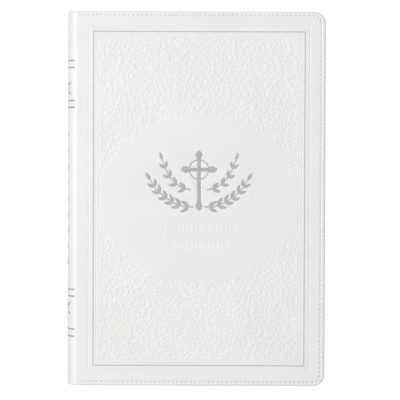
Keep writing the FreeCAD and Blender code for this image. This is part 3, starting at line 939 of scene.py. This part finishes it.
# steps of the mesh along the book's height, and across a hinge
SPINE_ROWS = 2.0
HINGE_ROWS = 6.0
HINGE_STEP = 0.1


def above(x, z):
    """A point in metres on the middle plane of the book."""
    return Vector((x, 0, z)) * MM


def leather_skins():
    strip_from = ROUND_HALF - SPINE_SIDE
    skin("spine_cover", -strip_from, strip_from, SPINE_ROWS, replaces=["spine_leather"], body="spine")
    back = skin("back_joint_cover", -ROUND_HALF - SKIN_OVERLAP, -strip_from, HINGE_ROWS, HINGE_STEP)
    edge_x = spine_point(-strip_from)[0]
    above(edge_x, 0)
    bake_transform(back)
    groove = ROUND_HALF + FRONT_STITCH_FROM - BACK_HINGE[0]
    front = skin("front_joint_cover", strip_from, STRIP_MIDDLE, HINGE_ROWS, HINGE_STEP,
                 groove, replaces=["front_joint_leather"])
    start = above(spine_point(strip_from)[0], TOP)
    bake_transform(front)
    hinge_at = ROUND_HALF + FRONT_LOW[0] - BACK_HINGE[0]
    fold = skin("front_fold_cover", STRIP_MIDDLE, hinge_at, HINGE_ROWS, HINGE_STEP, groove)
    start = above(FRONT_LOW[0] - FOLD_OVERLAP, TOP)
    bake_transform(fold)
    stitches = Parts()
    for middle in strip_stitches:
        for side in (1, -1):
            place = np.array([FRONT_LOW[0] + middle, side * (HALF_TALL - STITCH_INSET)])
            stitches.tube(stitch_shell(place, np.array([1.0, 0.0]), True))
    thing = stitches.piece("front_fold_stitches", "thread")
    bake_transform(thing)


leather_skins()


# ---------- silver foil
FOIL_RISE = 0.05
FOIL_EDGE = 0.08
FOIL_DOME = 0.015
# crossing strokes of the emblem lie this much higher one by one, so that no two faces share a place
FOIL_STACK = 0.0006
# strokes narrower than this end in a point
SHARP_TIP = 0.15


def stroke_sides(curve, round_ends):
    """Left and right edges of a stroke, drawn together at its ends if they are round."""
    points, radii = curve[:, :2], curve[:, 2]
    along = np.gradient(points, axis=0)
    along /= np.linalg.norm(along, axis=1)[:, None] + 1e-9
    wide = leftwards(along) * radii[:, None]
    left, right = points + wide, points - wide
    if round_ends and radii[0] > SHARP_TIP:
        right, left = cap(right[::-1], left[::-1], points[0], -along[0], radii[0])
        left, right = left[::-1], right[::-1]
    if round_ends and radii[-1] > SHARP_TIP:
        left, right = cap(left, right, points[-1], along[-1], radii[-1])
    return left, right


def cap(left, right, centre, away, radius):
    """Carry both sides of a stroke round its end."""
    angles = np.linspace(0.3, math.pi / 2 - 0.02, 5)[:, None]
    reach = centre + away * radius * np.sin(angles)
    wide = leftwards(away) * radius * np.cos(angles)
    return np.concatenate([left, reach + wide]), np.concatenate([right, reach - wide])


def foil_ribbon(parts, curve, surface, shift=0.0, round_ends=True):
    """A thin closed ribbon of foil laid over a surface along a stroke."""
    left, right = stroke_sides(curve, round_ends)
    rings = []
    for a, b in zip(left, right):
        upper = [surface(*a, shift), surface(*(a + b) / 2, shift + FOIL_DOME), surface(*b, shift)]
        lower = [surface(*b, shift - FOIL_EDGE), surface(*a, shift - FOIL_EDGE)]
        rings.append(upper + lower)
    parts.tube(rings)


def on_cover(x, y, rise):
    return x, y, TOP - FOIL_DEEP + FOIL_RISE + rise


def on_spine(s, y, rise):
    x, z = spine_point(s, -0.03 - rise)
    return x, y, z


def foil_piece(name, strokes, surface, node, body, step=0.4, rise=0.0, round_ends=True):
    """Ribbons of foil along strokes, each higher than the last by the rise."""
    parts = Parts()
    for number, (points, radii) in enumerate(strokes):
        foil_ribbon(parts, resample(points, radii, step), surface, rise * number, round_ends)
    parts.piece(name, "silver_foil", [node], body, sharp=60.0)


def front_foil():
    foil_piece("front_foil_cross_and_branches", EMBLEM, on_cover, "front_foil_emblem", "front_cover",
               rise=FOIL_STACK)
    level = TOP - FOIL_DEEP + FOIL_RISE
    ring = []
    for column, row in ((0, 0), (1, 0), (1, 1), (0, 1)):
        for width, z in ((0, level - FOIL_EDGE), (0, level), (FOIL_LINE, level),
                         (FOIL_LINE, level - FOIL_EDGE)):
            corners = outline_shift(-width)
            ring.append((corners[column][0], corners[row][1], z))
    line = Parts()
    line.add(ring, lattice(4, 4, wrap_rows=True, wrap_columns=True))
    line.piece("front_foil_line", "silver_foil", ["front_foil_frame"], "front_cover", smooth=False)


BAND_PLACES = (79.6, 75.5, 56.5, 52.6)
BAND_HALF_WIDTH = 0.42
BAND_REACH = 14.2
KNOT_AT = 63.6
KNOT_SIZE = 6.4
LOZENGES = 9
LOZENGE_PITCH = 9.2
# half the height of a tall lozenge and of a short one
LOZENGE_HALF = (5.2, 3.4)
# the bars above and below each lozenge: distance round the spine, and half length along it
BAR_AT = 6.7
BAR_HALF = 2.6


def spine_foil():
    bands = [mark([BAND_HALF_WIDTH] * 2, (-BAND_REACH, side * place), (BAND_REACH, side * place))
             for place in BAND_PLACES for side in (1, -1)]
    foil_piece("spine_foil_band_pairs", bands, on_spine, "spine_foil_bands", "spine", 0.7,
               round_ends=False)
    knots = spine_knot(KNOT_AT, KNOT_SIZE) + spine_knot(-KNOT_AT, KNOT_SIZE)
    for number in range(LOZENGES):
        knots += lozenge_knot((number - LOZENGES // 2) * LOZENGE_PITCH, LOZENGE_HALF[number % 2])
    foil_piece("spine_foil_knots", knots, on_spine, "spine_foil_ornaments", "spine")


def spine_knot(y, size):
    """Two facing curls joined by a bar, with two leaves beside each."""
    strokes = []
    for hand in (1, -1):
        away = math.pi / 2 * (1 - hand)
        curl = spiral(hand * size * 0.62, y, size * 0.5, size * 0.16, away, 1.1, hand)
        strokes.append((curl, np.linspace(0.42, 0.24, len(curl))))
        for side in (1, -1):
            strokes.append(leaf(hand * size * 0.9, y + side * 2.4, away, 4.6, 1.5, side * hand * 0.6))
    return strokes + [upright(0, y, 3.2, 0.12, 0.9)]


def lozenge_knot(y, half):
    """An open lozenge with a bar through it, between two bars that lie along the spine."""
    corners = [(-half, y), (0, y + 2.6), (half, y), (0, y - 2.6), (-half, y)]
    strokes = [mark((0.34, 0.34), a, b) for a, b in zip(corners, corners[1:])]
    strokes.append(mark((0.12, 0.8, 0.12), (-half * 0.4, y), (0, y), (half * 0.4, y)))
    return strokes + [upright(s, y, BAR_HALF, 0.16, 0.5) for s in (-BAR_AT, BAR_AT)]


front_foil()
spine_foil()


# ---------- pages
def middle_height(body):
    """Middle height of the paper in a page body."""
    boxes = [box_mm(node) for node in frame["record"]["behaviour"]["bodies"][body]
             if node.startswith("signature") or node.endswith("flyleaf")]
    return (min(low[2] for low, high in boxes) + max(high[2] for low, high in boxes)) / 2


MIDDLES = [middle_height(body) for body in PAGE_BODIES]
MIDDLE_SECTION = box_mm(SECTIONS[len(SECTIONS) // 2])
TEXT_X = MIDDLE_SECTION[0][0]
PAGE_WIDE = MIDDLE_SECTION[1][0] - TEXT_X
TEXT_RADIUS = 55.1
TEXT_ARC_X = TEXT_X + TEXT_RADIUS
FOLD_ROUND = 0.5


def block_x(z):
    """Left side of the rounded text block at a height."""
    return TEXT_ARC_X - math.sqrt(TEXT_RADIUS ** 2 - (z - TOP / 2) ** 2)


def add_leaf(parts, z_low, z_high, fold, uneven):
    """Add one leaf, and tell which of its sides are fold (0) and which are silvered edge (1)."""
    left = block_x((z_low + z_high) / 2)
    round_corner = PAGE_CORNER * towards(np.linspace(math.pi / 2, 0, 7))
    head = (left + PAGE_WIDE + uneven - PAGE_CORNER, PAGE_HALF - PAGE_CORNER) + round_corner
    half = np.concatenate([[(left + fold, PAGE_HALF)], head])
    outline = np.concatenate([half, half[::-1] * (1, -1)])
    parts.tube([[(x, y, z) for x, y in outline] for z in (z_low, z_high)])
    return [1] * (len(outline) - 1) + [0]


def leaves_between():
    """Every leaf: the heights of both faces, how far its fold is drawn in, and its unevenness."""
    leaves = []
    for section in SECTIONS:
        low, high = box_mm(section)
        pitch = (high[2] - low[2]) / LEAVES_PER_SECTION
        for number in range(LEAVES_PER_SECTION):
            z = low[2] + number * pitch
            off = min(number + 0.5, LEAVES_PER_SECTION - number - 0.5) * pitch
            bow = FOLD_ROUND - math.sqrt(max(FOLD_ROUND ** 2 - max(FOLD_ROUND - off, 0) ** 2, 0))
            uneven = random.uniform(-PAGE_UNEVEN, PAGE_UNEVEN)
            leaves.append((z + PAGE_AIR[0], z + pitch - PAGE_AIR[1], bow, uneven))
    return leaves


# the bodies given for a stack of leaves, which it rides on only when there is just one, and its first and last
# section
PAGE_PIECES = [("back_cover", "pages_2", 0, 4), ("pages_2", "pages_3", 4, 7), ("pages_3", None, 7, 9),
               ("pages_4", None, 9, 11), ("pages_4", "pages_5", 11, 14), ("pages_5", "pages_6", 14, 18)]


def paper_piece(name, leaves, slot, replaces, bodies):
    """A stack of leaves with silvered edges."""
    parts = Parts()
    sides = []
    for item in leaves:
        sides += add_leaf(parts, *item)
    thing = parts.piece(name, slot, replaces, smooth=False)
    shades = np.array(sides + [0, 0] * len(leaves), dtype=np.int32)
    thing.data.polygons.foreach_set("material_index", shades)
    ride_or_bend(thing, *bodies)
    return thing


def page_places(thing):
    """A UV layer with the place on the page in millimetres, which the print is laid out by."""
    mesh = thing.data
    corners = np.empty(len(mesh.loops), dtype=np.int32)
    mesh.loops.foreach_get("vertex_index", corners)
    places = np.empty(3 * len(mesh.vertices), dtype=np.float32)
    mesh.vertices.foreach_get("co", places)
    flat = places.reshape(-1, 3)[corners][:, :2] / MM + (-TEXT_X, PAGE_HALF)
    mesh.uv_layers.new(name="page").data.foreach_set("uv", flat.astype(np.float32).ravel())


def page_pieces():
    cuts = [0.0, MIDDLES[1], MIDDLES[2], TOP / 2, MIDDLES[3], MIDDLES[4], TOP]
    leaves = leaves_between()
    for number, (first, second, low, high) in enumerate(PAGE_PIECES):
        bottom, top = cuts[number:number + 2]
        chosen = [item for item in leaves if bottom <= (item[0] + item[1]) / 2 < top]
        page_places(paper_piece(f"leaves_{number + 1}", chosen, "page_paper", SECTIONS[low:high],
                                (first, second)))
    for name, bodies in (("back_flyleaf", ("back_cover", "pages_2")),
                         ("front_flyleaf", ("pages_5", "pages_6"))):
        low, high = box_mm(name)
        sheet = (low[2] + SHEET_AIR, high[2] - SHEET_AIR, 0.0, 0.0)
        paper_piece(f"{name}_sheet", [sheet], "endpaper", [name], bodies)


def ride_or_bend(thing, first, second):
    if second is None:
        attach(thing, first)
        return
    start, end = [above(TEXT_X, MIDDLES[PAGE_BODIES.index(body)]) for body in (first, second)]
    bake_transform(thing)


def along_block(low, high, away, step):
    """Points (x, z) and outward directions down the rounded back between two heights."""
    count = max(3, int((high - low) / step) + 1)
    z = np.linspace(low, high, count)
    out = towards(math.pi - np.arcsin((z - TOP / 2) / TEXT_RADIUS))
    return np.array([TEXT_ARC_X, TOP / 2]) + out * (TEXT_RADIUS + away), out


def cut_heights(node):
    """The ends of the five pieces of a layer on the block's back, one for each pair of page bodies."""
    low, high = box_mm(node)
    return [low[2]] + MIDDLES[1:-1] + [high[2]]


def back_strip(name, number, node, rows, away, thick, slot):
    """One of the five pieces of a layer on the block's back, as one shell for each row."""
    low, high = cut_heights("spine_mull" if node == "sewing_thread" else node)[number:number + 2]
    inner, out = along_block(low, high, away, STRIP_STEP)
    section = np.concatenate([inner + out * thick, inner[::-1]])
    parts = Parts()
    for ends in rows:
        stations = np.linspace(*ends, max(2, int((ends[1] - ends[0]) / 8)))
        parts.tube([[(x, y, z) for x, z in section] for y in stations])
    thing = parts.piece(f"{name}_{number + 1}", slot, [node], sharp=50.0)
    ride_or_bend(thing, *PAGE_BODIES[number:number + 2])


GLUE = 0.06
THREAD_THICK = 0.2
CLOTH_THICK = 0.25
THREAD_STATIONS = 7
SEWING_HALF = 2.5
STRIP_STEP = 0.25


def back_of_block():
    """Sewing, mull and paper lining, each in five pieces cut at the middle heights of the page bodies."""
    mull, paper, (low, high) = [[corner[1] for corner in box_mm(node)] for node in
                                ("spine_mull", "spine_paper_lining", "sewing_thread")]
    stations = np.linspace(low + SEWING_HALF, high - SEWING_HALF, THREAD_STATIONS)
    sewing = [(y - SEWING_HALF, y + SEWING_HALF) for y in stations]
    cloth = GLUE + THREAD_THICK
    for number in BACK_PIECES:
        back_strip("mull", number, "spine_mull", [mull], cloth, CLOTH_THICK, "mull_cloth")
        back_strip("paper_lining", number, "spine_paper_lining", [paper], cloth + CLOTH_THICK,
                   CLOTH_THICK, "kraft_paper")
        back_strip("sewing", number, "sewing_thread", sewing, GLUE, THREAD_THICK, "thread")


# length of cord along the folds that one wrap covers
HEADBAND_WIND = 0.42
WRAP_STEP = 0.055


def headbands():
    """Silk cords wound in two colours over the head and tail of the folds."""
    turn = np.linspace(0, 2 * math.pi, 13)[:-1]
    for node in ("headband_head", "headband_tail"):
        low, high = box_mm(node)
        radius = (high[1] - low[1]) / 2
        middle_y = (high[1] + low[1]) / 2
        cuts = cut_heights(node)
        for number in BACK_PIECES:
            line, out = along_block(*cuts[number:number + 2], -radius, WRAP_STEP)
            wind = TEXT_RADIUS * np.arcsin((line[:, 1] - TOP / 2) / TEXT_RADIUS) / HEADBAND_WIND
            swell = radius * (0.90 + 0.10 * np.abs(np.sin(math.pi * wind)))
            rings = [[(x + away_x * math.cos(a), middle_y + size * math.sin(a), z + away_z * math.cos(a))
                      for a in turn]
                     for (x, z), (away_x, away_z), size in zip(line, out * swell[:, None], swell)]
            thing = Parts(rings).piece(f"{node}_{number + 1}", "headband_silk", [node])
            wraps = np.repeat(np.floor(wind[:-1] / 2).astype(int) % 2, len(turn))
            thing.data.polygons.foreach_set("material_index", np.append(wraps, [0, 0]).astype(np.int32))
            ride_or_bend(thing, *PAGE_BODIES[number:number + 2])


page_pieces()
back_of_block()
headbands()


def dress_cad(names, material):
    """The CAD's own shape is shown, with a real material on it."""
    for name in names:
        mesh = frame["nodes"][name].data
        mesh.materials.clear()
        mesh.materials.append(material)


dress_cad(["front_board", "back_board", "spine_inlay"], BOARD)
dress_cad(["front_lining", "back_lining"], LINING)
dress_cad(["front_pastedown", "back_pastedown"], ENDPAPER)


# ---------- studio
# its lengths are in metres, apart from the camera's aim and the width of the picture
# the floor lies clear of the cover when it is folded right back
FLOOR_BELOW = 0.075
FLOOR_WIDE = 6.0
FLOOR_GLOW = 0.93
# the sky is a soft dome, brightest overhead, and one key lamp helps it; the floor lights nothing
SKY_STRENGTH = (0.56, 0.6)
SKY_COLOUR = (0.965, 0.985, 1.0, 1)
KEY_PLACE = (-0.95, 0.3, 1.25)
KEY_WIDE = 0.45
KEY_POWER = 15.2
KEY_COLOUR = (1.0, 0.975, 0.965)


def sky():
    world = bpy.data.worlds.new("studio")
    bpy.context.scene.world = world
    world.use_nodes = True
    tree = world.node_tree
    light = tree.nodes["Background"]
    light.inputs["Color"].default_value = SKY_COLOUR
    direction = add_node(tree, "ShaderNodeTexCoord").outputs["Generated"]
    height = add_node(tree, "ShaderNodeSeparateXYZ", Vector=direction).outputs["Z"]
    put(tree, light.inputs["Strength"], grey_range(tree, height, *SKY_STRENGTH))


def white_floor():
    bpy.ops.mesh.primitive_plane_add(size=FLOOR_WIDE, location=(0, 0, -FLOOR_BELOW))
    floor = bpy.context.object
    floor.name = "floor"
    look = Look("floor_white", None, Base_Color=(0.12, 0.12, 0.12, 1), Roughness=0.9,
                Emission_Color=(1, 1, 1, 1), Emission_Strength=FLOOR_GLOW)
    floor.data.materials.append(look.material)
    floor.visible_diffuse = False
    floor.visible_glossy = False


def key_lamp():
    lamp = bpy.data.lights.new("key", "AREA")
    lamp.energy = KEY_POWER
    lamp.color = KEY_COLOUR
    lamp.size = KEY_WIDE
    thing = new_object("key", lamp)
    thing.location = KEY_PLACE
    thing.rotation_euler = (-Vector(KEY_PLACE)).to_track_quat("-Z", "Y").to_euler()


CAMERA_AIM = (2.15, -0.64, TOP)
CAMERA_FAR = 1.6
CAMERA_TILT = 1.6
CAMERA_ROLL = 0.2
PICTURE_WIDE = 230.7
SENSOR = 36.0


def camera():
    """Straight above the closed book, from far enough away that it looks nearly parallel."""
    data = bpy.data.cameras.new("camera")
    thing = new_object("camera", data)
    aim = Vector(CAMERA_AIM) * MM
    tilt = math.radians(CAMERA_TILT)
    thing.location = aim + Vector((0.0, math.sin(tilt), math.cos(tilt))) * CAMERA_FAR
    thing.rotation_euler = (-tilt, 0.0, math.radians(CAMERA_ROLL))
    data.sensor_width = SENSOR
    data.lens = SENSOR * CAMERA_FAR / (PICTURE_WIDE * MM)
    data.clip_end = 20.0
    bpy.context.scene.camera = thing


bpy.context.scene.view_settings.view_transform = "Standard"
sky()
white_floor()
key_lamp()
camera()
